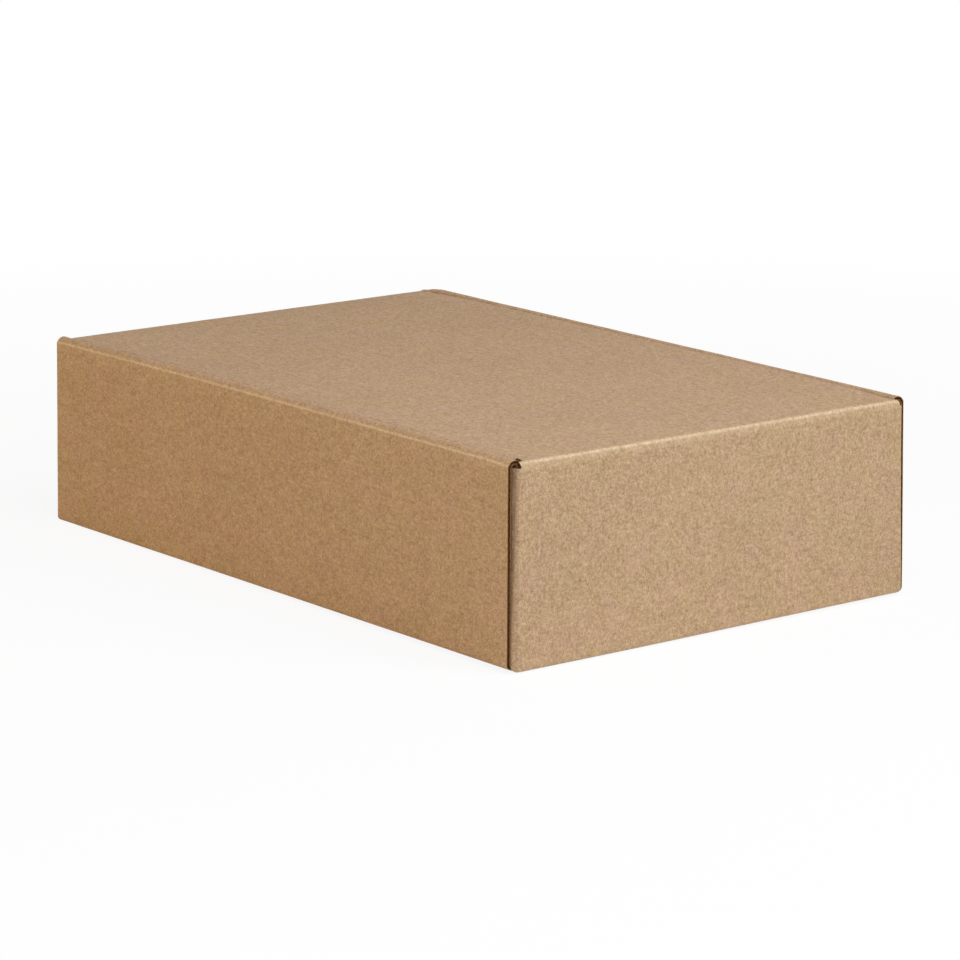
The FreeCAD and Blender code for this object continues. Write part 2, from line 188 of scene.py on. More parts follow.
class Looks(bpy.types.PropertyGroup):
    """Colours of the papers and of the stage."""

    liner_pink: colour("Liner, pink", "Kraft liner where it drifts to pink", "bb9c7e")
    liner_yellow: colour("Liner, yellow", "Kraft liner where it drifts to yellow", "b99d79")
    # Pale colour along the creases: partly liner stretched by the fold and scuffed, partly a
    # painted highlight where the fold catches the light.
    worn_and_highlight: colour("Worn crease", "Kraft liner stretched and rubbed over a crease", "ebd5b0")
    pulp: colour("Pulp", "What the cloudy mottle adds to or takes from the liner", "baa790")
    fleck: colour("Fleck", "Dark fibre in the liner", "7a5a3c")
    cut: colour("Cut edge", "Edge of a liner where the knife went through", "9c7645")
    # This colour also paints the shade inside the board, on the liners' inside faces between the
    # flutes.
    medium_and_hollow_shade: colour("Fluting", "Wavy paper between the liners", "6b4722")
    floor: colour("Floor", "Studio floor", "fafafa")
    key_tint: colour("Key tint", "Colour of the key light", "fdffec")
    top_tint: colour("Top tint", "Colour of the light above", "f3f0ff")
    side_tint: colour("Side tint", "Colour of the warm side light", "ffcc34")
    key_light: number("Key", "Power of the key light", 14.6, "POWER")
    top_light: number("Top", "Power of the light above", 7.0, "POWER")
    side_light: number("Side", "Power of the side light", 8.3, "POWER")
    room_light: number("Room", "Strength of the light all round", 0.2)


def quarter(radius):
    """Length of a square fold of that radius."""
    return radius * math.pi / 2


class Plan:
    """Places on the folded box, and the runs along its outside face from fold to fold."""

    def __init__(self, sizes):
        self.sizes = sizes
        bend, board = sizes.bend, sizes.board
        self.end, self.side, self.top = TRAY_HIGH
        self.lid_top = LID_HIGH.z
        self.base_x = self.end - bend
        self.base_y = self.side - bend
        # A long wall has three layers: outer panel, corner flap and inner panel.
        self.flap_out = self.side - board - sizes.flap_slack
        self.inner_out = self.flap_out - board - sizes.layer_gap
        self.inner_in = self.inner_out - board
        self.wall_half = self.flap_out - bend
        self.panel_end = self.end - board - sizes.panel_setback
        self.corner_start = self.panel_end + sizes.corner_gap
        self.crease_half = LID_HIGH.y
        self.lid_half = self.inner_in - sizes.ear_gap
        self.ear_fold = self.lid_half - bend
        self.lug_root = self.inner_in - sizes.lug_gap
        self.tuck_half = self.side - sizes.tuck_inset
        fold = self.lid_top - bend
        shoulder = fold - sizes.layer_gap
        self.seam = fold - sizes.hinge_margin
        foot = board + sizes.layer_gap
        # Where the folded heights lie on the flat sheet.
        self.flat_foot_x = self.base_x + quarter(bend)
        self.flat_shoulder = self.flat_height(shoulder)
        self.flat_seam = self.flat_height(self.seam)
        self.flat_tuck_wall = self.flat_height(self.lid_top - sizes.tuck_wall_step)
        self.flat_flap_low = self.flat_height(board + sizes.flap_lift)
        self.flat_flap = self.wall_half + quarter(bend)
        self.flat_flap_tip = self.flat_flap + sizes.flap_reach
        turn, rest = sizes.ridge_turn, math.pi / 2 - sizes.ridge_turn
        self.ridge_arc = turn * sizes.ridge
        ridge_rise = sizes.ridge * math.sin(turn) + sizes.slope * math.cos(turn)
        panel = self.top - ridge_rise - sizes.roll_out * (1 - math.cos(rest)) - bend
        inner = self.top - sizes.roll_in - foot
        self.flat_panel = self.base_y + quarter(bend)
        self.flat_roll = self.flat_panel + panel
        self.flat_slope = self.flat_roll + self.ridge_arc + sizes.slope
        self.flat_top = self.flat_slope + rest * sizes.roll_out
        self.flat_inner = self.flat_top + quarter(sizes.roll_in)
        self.flat_foot = self.flat_inner + inner
        self.flat_tip = self.flat_foot + foot - sizes.tab_tip
        far = 2 * self.top
        self.square_runs = [(quarter(bend), bend), (far, None)]
        self.side_runs = [
            (quarter(bend), bend),
            (panel, None),
            (self.ridge_arc, sizes.ridge),
            (sizes.slope, None),
            (rest * sizes.roll_out, sizes.roll_out),
            (quarter(sizes.roll_in), sizes.roll_in),
            (far, None),
        ]
        self.hinge_runs = [(sizes.hinge_margin, None), (quarter(bend), bend), (far, None)]
        self.hinge_length = 2 * sizes.hinge_margin + quarter(bend)
        self.wide_until = sizes.hinge_margin + quarter(bend) + sizes.layer_gap
        # The lid's flat sheet starts where the hinge strip ends.
        self.lid_start = self.base_x - sizes.hinge_margin
        self.lid_flat = self.lid_start + LID_LOW.x * -1 - bend
        turn = math.pi / 2 + math.atan(sizes.tuck_lean)
        self.lid_runs = [(self.lid_flat, None), (turn * bend, bend), (far, None)]
        self.tuck_root = self.lid_flat + turn * bend
        self.tuck_tip = self.tuck_root + sizes.tuck_reach
        self.ear_start = self.lid_start - self.end + sizes.ear_setback_hinge
        self.ear_stop = self.lid_start + self.end - sizes.ear_setback_tuck
        self.lug_start = self.wide_until - self.hinge_length
        lug_length = self.ear_start - sizes.ear_slit - self.lug_start
        self.lug_taper = (self.lug_root - self.ear_fold) / lug_length
        self.ear_root = self.ear_fold + quarter(bend)
        self.ear_tip = self.ear_root + fold - LID_LOW.z
        self.tab_middle = sizes.tab_spacing / 2
        self.tab_half = sizes.tab_length / 2
        self.slot_half = self.tab_half + sizes.slot_end_gap
        self.slot_near = self.inner_in - sizes.slot_gap
        self.slot_far = self.inner_out + sizes.slot_gap

    def flat_height(self, height):
        """Place along X, on the flat sheet, of a height on a short wall."""
        return self.flat_foot_x + height - self.sizes.bend


def steps(start, stop, count):
    """Evenly spaced places from start to stop."""
    return [start + (stop - start) * index / count for index in range(count + 1)]


def both_signs(places):
    """Places and their mirror images, in order and without doubles."""
    return in_order([sign * place for place in places for sign in (-1, 1)])


def in_order(places):
    """Places in order and without doubles."""
    return sorted({round(place, 7) for place in places})


def cross_lines(plan):
    """Lines across the short walls, the hinge crease and the lid, alike so that they meet."""
    return steps(0, plan.tuck_half, 12) + [
        plan.ear_fold - HOLD, plan.ear_fold, plan.lid_half,
        plan.slot_near, plan.crease_half, plan.wall_half,
    ]


def faces_where(sheet, wanted):
    """The faces whose middles pass a test."""
    return [face for face in sheet.faces if wanted(face.calc_center_median())]


def flat_grid(x_start, x_stop, y_start, y_stop, x_steps=1, y_steps=1):
    """A flat rectangle, cut evenly into fields."""
    grid = bmesh.new()
    bmesh.ops.create_grid(grid, x_segments=x_steps, y_segments=y_steps, size=0.5)
    bmesh.ops.scale(grid, vec=(x_stop - x_start, y_stop - y_start, 1), verts=grid.verts)
    middle = ((x_start + x_stop) / 2, (y_start + y_stop) / 2, 0)
    bmesh.ops.translate(grid, vec=middle, verts=grid.verts)
    return grid


def cut_sheet(x_lines, y_lines, kept):
    """A flat sheet scored along the lines, with every field for which kept() is false cut out."""
    sheet = flat_grid(x_lines[0], x_lines[-1], y_lines[0], y_lines[-1])
    for place in x_lines[1:-1]:
        slice_faces(sheet, sheet.faces, (place, 0, 0), (1, 0, 0))
    for place in y_lines[1:-1]:
        slice_faces(sheet, sheet.faces, (0, place, 0), (0, 1, 0))
    waste = faces_where(sheet, lambda spot: not kept(spot))
    bmesh.ops.delete(sheet, geom=waste, context="FACES")
    return sheet


def slice_faces(sheet, faces, point, normal, trim=False):
    """Cut faces along a plane, and drop what lies on its far side where it trims."""
    faces = list(faces)
    edges = dict.fromkeys(edge for face in faces for edge in face.edges)
    verts = dict.fromkeys(vert for face in faces for vert in face.verts)
    if trim:
        point = Vector(point) + Vector(normal).normalized() * SNAP
    bmesh.ops.bisect_plane(
        sheet, geom=faces + list(edges) + list(verts), dist=2 * SNAP,
        plane_co=point, plane_no=normal, clear_outer=trim,
    )


def round_corner(sheet, corner, inward, radius, segments=8):
    """Trim a square corner of a flat sheet to a round one. inward has the signs of the way in."""
    middle = Vector((corner[0] + inward[0] * radius, corner[1] + inward[1] * radius, 0))
    half_step = math.pi / 4 / segments
    for index in range(segments):
        angle = (2 * index + 1) * half_step
        outward = Vector((-inward[0] * math.cos(angle), -inward[1] * math.sin(angle), 0))
        near = faces_where(sheet, lambda spot: (
            0 < (middle.x - spot.x) * inward[0] < radius
            and 0 < (middle.y - spot.y) * inward[1] < radius
        ))
        if near:
            chord = middle + outward * radius * math.cos(half_step)
            slice_faces(sheet, near, chord, outward, trim=True)


def rolled(distance, inset, runs):
    """Where a point goes when its sheet is rolled up: how far across the flat, and how far above.
    distance is measured along the outside face, and inset from that face. Each run has a length
    and a radius, or None where it is straight."""
    across = rise = heading = 0.0
    for reach, radius in runs:
        step = min(distance, reach)
        if radius:
            turned = heading + step / radius
            across += radius * (math.sin(turned) - math.sin(heading))
            rise += radius * (math.cos(heading) - math.cos(turned))
            heading = turned
        else:
            across += step * math.cos(heading)
            rise += step * math.sin(heading)
        distance -= step
        if distance <= 0:
            break
    return across - inset * math.sin(heading), rise + inset * math.cos(heading)


def corner_shift(height, plan, wear):
    """How far a corner fold moves out at a height: it springs at its foot, and is pinched above."""
    share = eased(height, 0, wear.pinch_from * plan.lid_top)
    return wear.corner_spring * (1 - share) - wear.corner_pinch * share


def fold_tray(flat, plan, wear):
    """The tray's flat sheet, rolled up: along Y into long walls, else into short walls."""
    x, y, inset = flat
    side = math.copysign(1, y)
    if abs(x) <= plan.panel_end + TOUCH:
        if abs(y) <= plan.base_y:
            return Vector(flat)
        across, rise = rolled(abs(y) - plan.base_y, inset, plan.side_runs)
        # The inner panel's end follows the pinched corner fold beside it.
        follows = eased(abs(y), plan.flat_slope, plan.flat_inner)
        follows *= math.exp((abs(x) - plan.panel_end) / wear.corner_reach)
        across += follows * min(corner_shift(rise, plan, wear), 0)
        return Vector((x, side * (plan.base_y + across), rise))
    across_wall = abs(y)
    past_fold = abs(y) - plan.wall_half
    beyond = abs(x) - plan.base_x
    height = max(abs(x) - plan.flat_foot_x, 0)
    if past_fold > 0:
        fold = quarter(plan.sizes.bend)
        offset = (past_fold - fold / 2) / wear.score_width
        groove = wear.score * (1 - height / plan.top) * math.exp(-offset * offset)
        across, inset = rolled(past_fold, inset + groove, plan.square_runs)
        fades = min(past_fold / fold, 1) * math.exp(-max(past_fold - fold, 0) / wear.corner_reach)
        across_wall = plan.wall_half + across + fades * corner_shift(height, plan, wear)
    if beyond <= 0:
        return Vector((x, side * across_wall, inset))
    across, rise = rolled(beyond, inset, plan.square_runs)
    return Vector((math.copysign(plan.base_x + across, x), side * across_wall, rise))


def fold_hinge(flat, plan, wear):
    """The hinge strip: up the hinge wall, over the crease and on to the lid."""
    up, back = rolled(flat[0], flat[2], plan.hinge_runs)
    return Vector((plan.end - back, flat[1], plan.seam + up))


def fold_lid(flat, plan, wear):
    """The lid's flat sheet, rolled down into the tuck flap and the ears."""
    x, y, inset = flat
    in_ear = plan.ear_start - TOUCH < x < plan.ear_stop + TOUCH
    if abs(y) > plan.ear_fold and in_ear:
        across, drop = rolled(abs(y) - plan.ear_fold, inset, plan.square_runs)
        y = math.copysign(plan.ear_fold + across, y)
    else:
        x, drop = rolled(x, inset, plan.lid_runs)
    return Vector((plan.lid_start - x, y, plan.lid_top - drop))


def eased(value, start, stop):
    """0 up to start and 1 from stop, with a smooth change between them."""
    share = min(max((value - start) / (stop - start), 0), 1)
    return share * share * (3 - 2 * share)


def settle(point, plan, wear):
    """The folded box as it really stands, a little out of true. It stays in its drawn outline."""
    moved = point.copy()
    share = Vector((point.x / plan.end, point.y / plan.side, point.z / plan.top))
    slow = noise.noise_vector(point / wear.slow_span)
    quick = noise.noise_vector(point / wear.quick_span)
    for axis in range(3):
        uneven = wear.slow * (0.5 + 0.5 * slow[axis]) + wear.quick * (0.5 + 0.5 * quick[axis])
        moved[axis] -= share[axis] * uneven
    # Long walls lean in, most at their ends away from the upright corner in front.
    away = (1 + share.x * math.copysign(1, point.y)) / 2
    lean = wear.foot + (wear.lean - wear.foot) * share.z
    lean = lean * away + wear.lean_front * share.z * (1 - away)
    moved.y -= math.copysign(share.y ** 4, point.y) * lean
    # The near long wall stands lower towards the tuck wall, and its foot curls up at the hinge.
    near = (1 - share.y) / 2
    to_tuck = (1 - share.x) / 2
    moved.z -= near * wear.droop * to_tuck ** 3 * share.z ** 2
    on_panel = abs(point.x) <= plan.panel_end + TOUCH
    foot = eased(-point.y, plan.lid_half, plan.side)
    if on_panel:
        moved.z += foot * wear.lift * (1 - to_tuck) * (1 - share.z) ** 2
    elif point.x > 0:
        moved.z += foot * wear.corner_curl * max(1 - point.z / wear.curl_height, 0)
    hinge_foot = eased(share.x, 0.5, 1) * eased(share.y, -0.6, 1)
    moved.z += hinge_foot * wear.far_lift * max(1 - 4 * share.z, 0)
    # Both long walls are crushed at a top corner, and the far one sinks towards the hinge.
    top = eased(share.z, 0.9, 1)
    crushed = plan.panel_end - wear.crush_span
    if point.y > plan.slot_near:
        moved.z -= top * wear.crush * eased(-point.x, crushed, plan.panel_end)
    if point.y < -plan.slot_near:
        moved.z -= top * wear.near_crush * eased(point.x, crushed, plan.panel_end)
    far_wall = eased(point.y, plan.lid_half, plan.inner_in)
    moved.z -= far_wall * wear.far_droop * (1 - to_tuck) * share.z ** 2
    # The lid is crowned along its far side.
    edge = plan.inner_in if on_panel else plan.side
    on_lid = 1 - eased(abs(point.y), plan.lid_half, edge)
    far = (1 + share.y) / 2
    at_end = share.x ** 8
    crown = wear.crown * (1 - at_end) - (wear.hinge_dip if share.x > 0 else wear.tuck_dip) * at_end
    moved.z += on_lid * far * crown * eased(share.z, 0.5, 0.93)
    return moved


def worn_and_highlight_share(flat, ridges):
    """How pale a place on the flat sheet is, from wear and painted highlight: 1 on a ridge, 0 away
    from it.
    """
    worn_and_highlight = 0.0
    for axis, place, strength, width in ridges:
        offset = (abs(flat[axis]) - place) / width
        worn_and_highlight = max(worn_and_highlight, strength * math.exp(-offset * offset))
    return worn_and_highlight


def lift(sheet, made, height):
    """Move up the points that an operator made."""
    verts = [item for item in made["geom"] if isinstance(item, bmesh.types.BMVert)]
    bmesh.ops.translate(sheet, vec=(0, 0, height), verts=verts)


def add_liners(sheet, sizes):
    """Give the flat sheet its two liners, the outside one from 0 up and the inside one above."""
    everything = sheet.verts[:] + sheet.edges[:] + sheet.faces[:]
    lift(sheet, bmesh.ops.duplicate(sheet, geom=everything), sizes.board - sizes.liner)
    lift(sheet, bmesh.ops.extrude_face_region(sheet, geom=sheet.faces[:]), sizes.liner)
    bmesh.ops.recalc_face_normals(sheet, faces=sheet.faces)
    for face in sheet.faces:
        height = face.calc_center_median().z
        # Faces inside the board, between the liners, get the dark fluting paper: painted shade of
        # the hollow.
        hollow = TOUCH < height < sizes.board - TOUCH
        face.material_index = 1 if abs(face.normal.z) < 0.5 else 2 if hollow else 0


def flute_ribbon(sheet, spot, sizes):
    """A ribbon of fluting over a flat rectangle, with the waves running across Y."""
    _, _, y_start, y_stop, _ = spot
    ribbon = flat_grid(*spot, math.ceil((y_stop - y_start) / sizes.pitch * WAVE_STEPS))
    swing = (sizes.board - sizes.fluting) / 2 - sizes.liner
    for vert in ribbon.verts:
        wave = math.cos(vert.co.y / sizes.pitch * math.tau)
        vert.co.z = (sizes.board + sizes.fluting) / 2 + swing * wave
    copy = bpy.data.meshes.new("ribbon")
    ribbon.to_mesh(copy)
    ribbon.free()
    sheet.from_mesh(copy)
    bpy.data.meshes.remove(copy)


def fold_up(sheet, fold, plan, wear, ridges=(), start=0.0):
    """Fold a flat mesh. The flat place of each point stays with it, for the paper's pattern:
    start is where this sheet begins on the whole flat blank."""
    noise.seed_set(RIPPLE_SEED)
    flat_place = sheet.verts.layers.float_vector.new("blank")
    # How pale each point is along the creases: partly wear, partly painted highlight.
    worn_and_highlight = sheet.verts.layers.float.new("worn_and_highlight")
    for vert in sheet.verts:
        flat = vert.co.copy()
        vert[flat_place] = flat + Vector((start, 0, 0))
        vert[worn_and_highlight] = worn_and_highlight_share(flat, ridges)
        vert.co = settle(fold(flat, plan, wear), plan, wear)


def put_in_scene(name, data):
    """Make an object of that data and link it to the scene."""
    made = bpy.data.objects.new(name, data)
    bpy.context.scene.collection.objects.link(made)
    return made


def finish_piece(name, sheet, materials):
    """Make a piece from a folded mesh, smooth over its folds and sharp at its cut edges."""
    sheet.normal_update()
    for face in sheet.faces:
        face.smooth = True
    for edge in sheet.edges:
        edge.smooth = not edge.is_manifold or edge.calc_face_angle(0) < SHARP
    mesh = bpy.data.meshes.new(name)
    sheet.to_mesh(mesh)
    sheet.free()
    for material in materials:
        mesh.materials.append(material)
    piece = put_in_scene(name, mesh)
    return piece


def make_liners(name, sheet, fold, plan, wear, ridges=(), start=0.0):
    """Make a piece of both liners from a cut sheet."""
    add_liners(sheet, plan.sizes)
    fold_up(sheet, fold, plan, wear, ridges, start)
    return finish_piece(name, sheet, papers())


def flat_waves(spots, sizes):
    """Waves of fluting over flat rectangles, without thickness yet."""
    waves = bmesh.new()
    for spot in spots:
        flute_ribbon(waves, spot, sizes)
    return waves


def make_fluting(name, waves, fold, plan, wear, start=0.0):
    """Make a piece of fluting from flat waves."""
    bmesh.ops.solidify(waves, geom=waves.faces[:], thickness=plan.sizes.fluting)
    fold_up(waves, fold, plan, wear, (), start)
    return finish_piece(name, waves, papers()[2:])


def add_node(tree, kind, links=None, **settings):
    """Add a shader node with its settings, and set or link its inputs."""
    made = tree.nodes.new(kind)
    for word, value in settings.items():
        setattr(made, word, value)
    for socket, value in (links or {}).items():
        if isinstance(value, bpy.types.NodeSocket):
            tree.links.new(value, made.inputs[socket])
        else:
            made.inputs[socket].default_value = value
    return made


def maths(tree, operation, *values):
    """Arithmetic on plain numbers and sockets."""
    inputs = dict(enumerate(values))
    return add_node(tree, "ShaderNodeMath", inputs, operation=operation).outputs["Value"]


def cloud(tree, place, spot, detail, roughness=0.5):
    """Cloudy noise from 0 to 1. spot is the size of its spots in mm."""
    return add_node(
        tree, "ShaderNodeTexNoise",
        {"Vector": place, "Scale": 1 / spot, "Detail": detail, "Roughness": roughness},
    ).outputs["Fac"]


def ramp(tree, value, low, high):
    """0 up to low and 1 from high, with an even change between them."""
    return add_node(
        tree, "ShaderNodeMapRange", {"Value": value, "From Min": low, "From Max": high}
    ).outputs["Result"]


def cross_fade(tree, share, first, second):
    """A share of the second colour over the first."""
    return add_node(
        tree, "ShaderNodeMix", {"Factor": share, 6: first, 7: second}, data_type="RGBA"
    ).outputs[2]


def empty_tree(owner):
    """The node tree of a material or a world, with nothing in it."""
    owner.use_nodes = True
    owner.node_tree.nodes.clear()
    return owner.node_tree


def new_paper(name, roughness, gloss):
    """A material's nodes, its shader, and its place on the flat sheet in millimetres."""
    tree = empty_tree(bpy.data.materials.get(name) or bpy.data.materials.new(name))
    shader = add_node(
        tree, "ShaderNodeBsdfPrincipled", {"Roughness": roughness, "Specular IOR Level": gloss}
    )
    add_node(tree, "ShaderNodeOutputMaterial", {"Surface": shader.outputs["BSDF"]})
    blank = add_node(tree, "ShaderNodeAttribute", attribute_name="blank")
    place = add_node(
        tree, "ShaderNodeVectorMath", {0: blank.outputs["Vector"], "Scale": 1 / mm(1)},
        operation="SCALE",
    )
    return tree, shader, place.outputs["Vector"]


def mottle(tree, place, layers, middle=1.0):
    """Uneven tone about a middle. Each layer has a spot size in mm, a detail and a swing."""
    tone = middle - sum(swing for _, _, swing in layers) / 2
    for spot, detail, swing in layers:
        tone = maths(tree, "MULTIPLY_ADD", cloud(tree, place, spot, detail, 0.6), swing, tone)
    return tone


def fibres(tree, place, along, across, share, fade=0.06):
    """Scattered fibres of that length and width in mm, where noise rises above a share."""
    stretched = add_node(
        tree, "ShaderNodeVectorMath", {0: place, 1: (1 / along, 1 / across, 0.3)},
        operation="MULTIPLY",
    )
    return ramp(tree, cloud(tree, stretched.outputs["Vector"], 1.0, 1.0), share, share + fade)


def kraft_liner(looks):
    """Recycled kraft liner, machine made and uncoated: dull, with a fine cloudy mottle of pulp,
    a slight drift of hue, a few dark fibres, and paler fibres along the creases that are partly
    wear and partly painted highlight."""
    tree, shader, place = new_paper("kraft_liner", 0.86, 0.3)
    drift = ramp(tree, cloud(tree, place, 16.0, 1.0), 0.32, 0.68)
    paper = cross_fade(tree, drift, tuple(looks.liner_pink), tuple(looks.liner_yellow))
    dark = maths(tree, "MULTIPLY", fibres(tree, place, 1.6, 0.35, 0.66), 0.3)
    flecked = cross_fade(tree, dark, paper, tuple(looks.fleck))
    # Paler along the creases: partly wear, partly a painted highlight.
    worn_and_highlight = add_node(tree, "ShaderNodeAttribute", attribute_name="worn_and_highlight").outputs["Fac"]
    rubbed_and_highlight = maths(tree, "MULTIPLY", worn_and_highlight, cloud(tree, place, 2.2, 2.0, 0.7))
    creased = cross_fade(tree, rubbed_and_highlight, flecked, tuple(looks.worn_and_highlight))
    fine = [(0.5, 0.0, 0.72), (1.2, 0.0, 0.48), (3.0, 1.0, 0.42)]
    broad = [(9.0, 1.0, 0.2), (60.0, 1.0, 0.1)]
    toned = add_node(
        tree, "ShaderNodeVectorMath",
        {0: looks.pulp[:3], 1: mottle(tree, place, fine + broad, 0.0), 2: creased},
        operation="MULTIPLY_ADD",
    )
    tree.links.new(toned.outputs["Vector"], shader.inputs["Base Color"])
    grain = add_node(
        tree, "ShaderNodeBump",
        {"Height": cloud(tree, place, 0.4, 3.0, 0.6), "Strength": 0.35, "Distance": mm(0.06)},
    )
    uneven = add_node(
        tree, "ShaderNodeBump",
        {
            "Height": cloud(tree, place, 2.8, 1.0), "Strength": 1.0, "Distance": mm(0.8),
            "Normal": grain.outputs["Normal"],
        },
    )
    tree.links.new(uneven.outputs["Normal"], shader.inputs["Normal"])


def dull_paper(name, shade, layers, roughness, gloss):
    """A plain paper of one shade with a mottle."""
    tree, shader, place = new_paper(name, roughness, gloss)
    toned = add_node(
        tree, "ShaderNodeVectorMath", {0: shade[:3], "Scale": mottle(tree, place, layers)},
        operation="SCALE",
    )
    tree.links.new(toned.outputs["Vector"], shader.inputs["Base Color"])


def cut_liner(looks):
    """A liner's edge where the knife went through: the same pulp, browner and a little furry."""
    dull_paper("cut_liner_edge", looks.cut, [(0.5, 2.0, 0.3), (3.0, 1.0, 0.2)], 0.95, 0.2)


def flute_paper_and_hollow_shade(looks):
    """Recycled fluting paper, pressed into waves: darker and browner than the liners, and dull.
    It also paints the shade on the liners' inside faces, in the hollow of the board.
    """
    dull_paper("fluting_paper_and_hollow_shade", looks.medium_and_hollow_shade, [(0.6, 2.0, 0.3), (4.0, 1.0, 0.2)], 0.92, 0.25)


def papers():
    """The board's three papers: face of a liner, cut edge of a liner, and fluting, which also
    paints the shade inside the board.
    """
    return [bpy.data.materials[name] for name in ("kraft_liner", "cut_liner_edge", "fluting_paper_and_hollow_shade")]


def settings():
    """The plan that follows from the panel's values, and its wear and looks."""
    scene = bpy.context.scene
    return Plan(scene.box_sizes), scene.box_wear, scene.box_looks


def tray_ridges(plan, wear):
    """Pale ridges of the tray on its flat sheet, partly wear and partly painted highlight: axis,
    place, strength and half width.
    """
    return [
        (1, plan.flat_roll + plan.ridge_arc / 2, 1.0, wear.ridge_wear_and_highlight_width),
        (0, plan.flat_foot_x - quarter(plan.sizes.bend) / 2, 0.3, wear.worn_and_highlight_width),
    ]


def tray_x_lines(plan):
    """Score and cut lines across the length of the tray's flat sheet."""
    sizes = plan.sizes
    tab = [plan.tab_half - sizes.tab_taper, plan.tab_half, plan.slot_half]
    shared = steps(0, plan.panel_end, 24) + [plan.corner_start, plan.base_x]
    # One more line near a long wall's end, where it follows the pinched corner fold.
    shared += [plan.panel_end - mm(3)]
    shared += [plan.tab_middle + sign * half for half in tab for sign in (-1, 1)]
    shared += steps(plan.base_x, plan.flat_foot_x, 6)
    shared += [plan.base_x - HOLD, plan.flat_foot_x + HOLD]
    shared += [plan.flat_flap_low, plan.flat_flap_low + sizes.flap_corner]
    shared += steps(plan.flat_flap_low, plan.flat_seam, 8)
    shared += [plan.flat_shoulder - sizes.flap_corner, plan.flat_shoulder]
    shared += steps(plan.flat_seam, plan.flat_shoulder, 2)
    return in_order(both_signs(shared) + [-plan.flat_tuck_wall])


def tray_y_lines(plan):
    """Score and cut lines across the width of the tray's flat sheet."""
    places = cross_lines(plan) + [plan.slot_far, plan.flat_tip]
    places += steps(plan.wall_half, plan.flat_flap, 6)
    places += steps(plan.flat_flap, plan.flat_flap_tip - plan.sizes.flap_corner, 5)
    places += [plan.flat_flap_tip]
    places += steps(plan.base_y, plan.flat_panel, 6)
    places += steps(plan.flat_panel, plan.flat_roll, 9)
    places += steps(plan.flat_roll, plan.flat_roll + plan.ridge_arc, 4)
    places += steps(plan.flat_roll + plan.ridge_arc, plan.flat_slope, 2)
    places += steps(plan.flat_slope, plan.flat_top, 5)
    places += steps(plan.flat_top, plan.flat_inner, 7)
    places += steps(plan.flat_inner, plan.flat_foot, 7)
    # Lines held close beside the folds keep the flat panels' shading flat.
    places += [plan.base_y - HOLD, plan.flat_panel + HOLD, plan.flat_roll - HOLD]
    places += [plan.flat_inner + HOLD, plan.flat_flap + HOLD]
    return both_signs(places)


def in_tray(centre, plan):
    """True where the tray's flat sheet has board."""
    x, y = abs(centre.x), abs(centre.y)
    if x < plan.panel_end:
        from_tab = abs(x - plan.tab_middle)
        if plan.slot_near < y < plan.slot_far and from_tab < plan.slot_half:
            return False
        return y < plan.flat_foot or from_tab < plan.tab_half
    if y < plan.crease_half:
        return x < (plan.flat_seam if centre.x > 0 else plan.flat_tuck_wall)
    if y < plan.wall_half:
        return x < plan.flat_shoulder
    if y < plan.flat_flap:
        return plan.corner_start < x < plan.flat_shoulder
    return plan.flat_flap_low < x < plan.flat_shoulder and y < plan.flat_flap_tip


def trim_tray(sheet, plan):
    """Round the corner flaps and taper the locking tabs."""
    sizes = plan.sizes
    for end, side in CORNERS:
        tip = side * plan.flat_flap_tip
        round_corner(sheet, (end * plan.flat_shoulder, tip), (-end, -side), sizes.flap_corner)
        round_corner(sheet, (end * plan.flat_flap_low, tip), (end, -side), sizes.flap_corner)
        middle = end * plan.tab_middle
        for along in (-1, 1):
            root = (middle + along * plan.tab_half, side * plan.flat_foot, 0)
            slope = (along * (plan.flat_tip - plan.flat_foot), side * sizes.tab_taper, 0)
            tab = faces_where(sheet, lambda spot: (
                spot.y * side > plan.flat_foot and abs(spot.x - middle) < plan.tab_half
            ))
            slice_faces(sheet, tab, root, slope, trim=True)


def span(start, stop, sign):
    """A span on the side of that sign, in order."""
    return sorted((sign * start, sign * stop))


def tray_flutes(plan):
    """Flat rectangles of the tray where fluting shows at a cut edge."""
    deep = plan.sizes.ribbon
    low, high, shoulder = plan.corner_start, plan.panel_end, plan.flat_shoulder
    tab = plan.tab_half - plan.sizes.tab_taper
    for end, side in CORNERS:
        yield (*span(high - deep, high, end), *span(plan.wall_half, plan.flat_foot, side), 2)
        flap = span(plan.crease_half, plan.flat_flap_tip, side)
        yield (*span(shoulder - deep, shoulder, end), *flap, 2)
        yield (*span(low, low + deep / 2, end), *span(plan.wall_half, plan.flat_flap, side), 8)
        root = span(plan.flat_foot - deep / 2, plan.flat_tip, side)
        yield (*span(plan.tab_middle - tab, plan.tab_middle + tab, end), *root, 4)
    yield (-plan.flat_tuck_wall, deep - plan.flat_tuck_wall, -plan.crease_half, plan.crease_half, 2)


class BOX_OT_tray(bpy.types.Operator):
    """Cut, crease and fold the tray: base, four walls and corner flaps"""

    bl_idname = "box.tray"
    bl_label = "Tray"

    def execute(self, context):
        plan, wear, looks = settings()
        kraft_liner(looks)
        cut_liner(looks)
        flute_paper_and_hollow_shade(looks)
        sheet = cut_sheet(
            tray_x_lines(plan), tray_y_lines(plan), lambda centre: in_tray(centre, plan)
        )
        trim_tray(sheet, plan)
        ridges = tray_ridges(plan, wear)
        liners = make_liners("tray_liners", sheet, fold_tray, plan, wear, ridges)
        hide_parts("tray")
        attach(liners, "tray")
        waves = flat_waves(tray_flutes(plan), plan.sizes)
        for end, side in CORNERS:
            corner = (end * plan.flat_shoulder, side * plan.flat_flap_tip)
            round_corner(waves, corner, (-end, -side), plan.sizes.flap_corner)
        fluting = make_fluting("tray_fluting", waves, fold_tray, plan, wear)
        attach(fluting, "tray")
        return {"FINISHED"}


